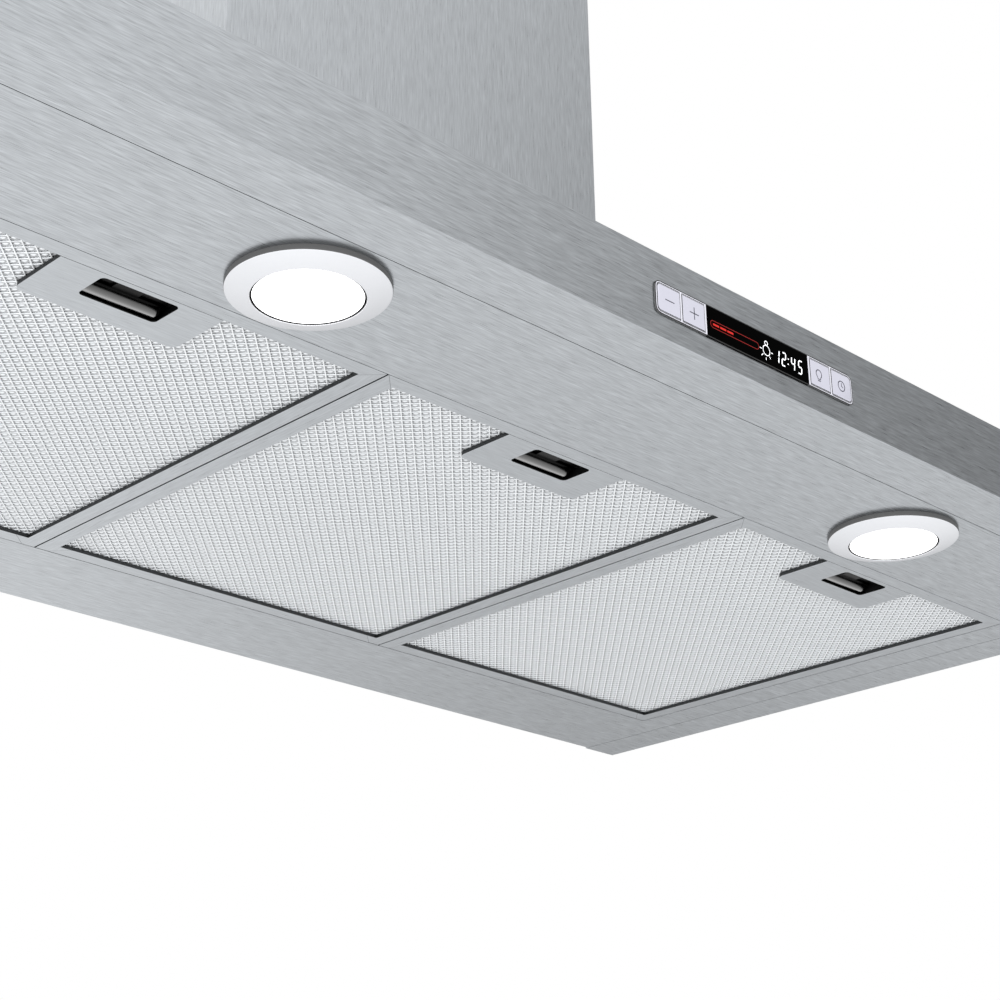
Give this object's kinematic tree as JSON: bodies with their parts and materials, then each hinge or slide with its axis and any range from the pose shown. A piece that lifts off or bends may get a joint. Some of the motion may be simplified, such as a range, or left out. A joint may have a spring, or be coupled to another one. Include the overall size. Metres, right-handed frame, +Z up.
{
  "type": "range hood",
  "caption": "Slim box canopy range hood for a wall, with hinged grease filters, lamps, a key strip, a blower and a telescopic chimney.",
  "frame": {"origin": "middle of the four wall screws of the two hook brackets, on the wall", "axes": "+X to the right seen from the front, +Y towards the wall, +Z up"},
  "size_m": [0.9, 0.501, 0.6445],
  "materials": {
    "brushed_steel": "brushed along the width",
    "filter_steel": "brushed",
    "mesh_aluminium": "expanded mesh, bright",
    "pleat_aluminium": "expanded mesh, dull",
    "latch_steel": "satin",
    "spring_steel": "bright wire",
    "lamp_ring": "white, satin",
    "lamp_lens": "frosted diffuser",
    "lamp_body": "die cast, finned",
    "electronics_case": "matt",
    "circuit_board": "green solder mask",
    "strip_rim": "silver, satin",
    "key_plastic": "silver grey, satin",
    "display_window": "dark, glossy",
    "galvanised_steel": "zinc coated sheet",
    "scroll_steel": "zinc coated sheet",
    "wheel_steel": "zinc coated sheet",
    "motor_case": "black, satin",
    "bright_steel": "ground",
    "collar_plastic": "black, moulded",
    "flap_aluminium": "sheet",
    "box_plastic": "grey, moulded",
    "gland_plastic": "black, moulded",
    "screw_steel": "zinc plated"
  },
  "bodies": {
    "hood": {"canopy_shell": "brushed_steel", "canopy_top": "brushed_steel", "back_panel": "galvanised_steel", "underside_panel": "brushed_steel", "lamp_clips": "spring_steel", "lamp_driver": "electronics_case", "strip_bezel": "strip_rim", "display_window": "display_window", "control_tray": "electronics_case", "control_board": "circuit_board", "blower_cabinet": "galvanised_steel", "blower_scroll": "scroll_steel", "motor": "motor_case", "motor_bracket": "galvanised_steel", "outlet_collar": "collar_plastic", "flap_spindle": "bright_steel", "terminal_box": "box_plastic", "cable_gland": "gland_plastic", "lower_chimney": "brushed_steel", "wall_hooks": "galvanised_steel", "lamp_left_ring": "lamp_ring", "lamp_left_lens": "lamp_lens", "lamp_left_body": "lamp_body", "lamp_right_ring": "lamp_ring", "lamp_right_lens": "lamp_lens", "lamp_right_body": "lamp_body", "panel_screws": "screw_steel", "cabinet_screws": "screw_steel", "collar_screws": "screw_steel", "chimney_screws": "screw_steel"},
    "filter_left": {"filter_left_frame": "filter_steel", "filter_left_mesh": "mesh_aluminium", "filter_left_core": "pleat_aluminium", "filter_left_handle": "filter_steel"},
    "latch_left": {"filter_left_latch": "latch_steel", "filter_left_spring": "spring_steel"},
    "filter_middle": {"filter_middle_frame": "filter_steel", "filter_middle_mesh": "mesh_aluminium", "filter_middle_core": "pleat_aluminium", "filter_middle_handle": "filter_steel"},
    "latch_middle": {"filter_middle_latch": "latch_steel", "filter_middle_spring": "spring_steel"},
    "filter_right": {"filter_right_frame": "filter_steel", "filter_right_mesh": "mesh_aluminium", "filter_right_core": "pleat_aluminium", "filter_right_handle": "filter_steel"},
    "latch_right": {"filter_right_latch": "latch_steel", "filter_right_spring": "spring_steel"},
    "button_minus": {"key_minus": "key_plastic"},
    "button_plus": {"key_plus": "key_plastic"},
    "button_light": {"key_light": "key_plastic"},
    "button_timer": {"key_timer": "key_plastic"},
    "fan": {"fan_wheel": "wheel_steel", "motor_shaft": "bright_steel"},
    "front_flap": {"flap_front": "flap_aluminium"},
    "rear_flap": {"flap_rear": "flap_aluminium"},
    "chimney_top": {"upper_chimney": "brushed_steel", "chimney_bracket": "galvanised_steel", "bracket_screws": "screw_steel"}
  },
  "joints": [
    {"name": "filter_left_swing", "type": "hinge", "parent": "hood", "child": "filter_left", "pos_m": [-0.263, -0.082, -0.2], "axis": [1, 0, 0], "range_deg": [0, 75]},
    {"name": "latch_left_slide", "type": "slide", "parent": "filter_left", "child": "latch_left", "axis": [0, 1, 0], "range_m": [0, 0.0035], "stiffness_N_per_m": 400, "springref_m": -0.003},
    {"name": "filter_middle_swing", "type": "hinge", "parent": "hood", "child": "filter_middle", "pos_m": [0, -0.082, -0.2], "axis": [1, 0, 0], "range_deg": [0, 75]},
    {"name": "latch_middle_slide", "type": "slide", "parent": "filter_middle", "child": "latch_middle", "axis": [0, 1, 0], "range_m": [0, 0.0035], "stiffness_N_per_m": 400, "springref_m": -0.003},
    {"name": "filter_right_swing", "type": "hinge", "parent": "hood", "child": "filter_right", "pos_m": [0.263, -0.082, -0.2], "axis": [1, 0, 0], "range_deg": [0, 75]},
    {"name": "latch_right_slide", "type": "slide", "parent": "filter_right", "child": "latch_right", "axis": [0, 1, 0], "range_m": [0, 0.0035], "stiffness_N_per_m": 400, "springref_m": -0.003},
    {"name": "key_minus_press", "type": "slide", "parent": "hood", "child": "button_minus", "axis": [0, 1, 0], "range_m": [0, 0.001], "stiffness_N_per_m": 900, "springref_m": -0.0005},
    {"name": "key_plus_press", "type": "slide", "parent": "hood", "child": "button_plus", "axis": [0, 1, 0], "range_m": [0, 0.001], "stiffness_N_per_m": 900, "springref_m": -0.0005},
    {"name": "key_light_press", "type": "slide", "parent": "hood", "child": "button_light", "axis": [0, 1, 0], "range_m": [0, 0.001], "stiffness_N_per_m": 900, "springref_m": -0.0005},
    {"name": "key_timer_press", "type": "slide", "parent": "hood", "child": "button_timer", "axis": [0, 1, 0], "range_m": [0, 0.001], "stiffness_N_per_m": 900, "springref_m": -0.0005},
    {"name": "fan_spin", "type": "hinge", "parent": "hood", "child": "fan", "pos_m": [0, -0.165, -0.05], "axis": [1, 0, 0], "continuous": true},
    {"name": "front_flap_swing", "type": "hinge", "parent": "hood", "child": "front_flap", "pos_m": [0, -0.11, 0.107], "axis": [-1, 0, 0], "range_deg": [0, 75]},
    {"name": "rear_flap_swing", "type": "hinge", "parent": "hood", "child": "rear_flap", "pos_m": [0, -0.11, 0.107], "axis": [1, 0, 0], "range_deg": [0, 75]},
    {"name": "chimney_top_slide", "type": "slide", "parent": "hood", "child": "chimney_top", "axis": [0, 0, 1], "range_m": [0, 0.26]}
  ]
}
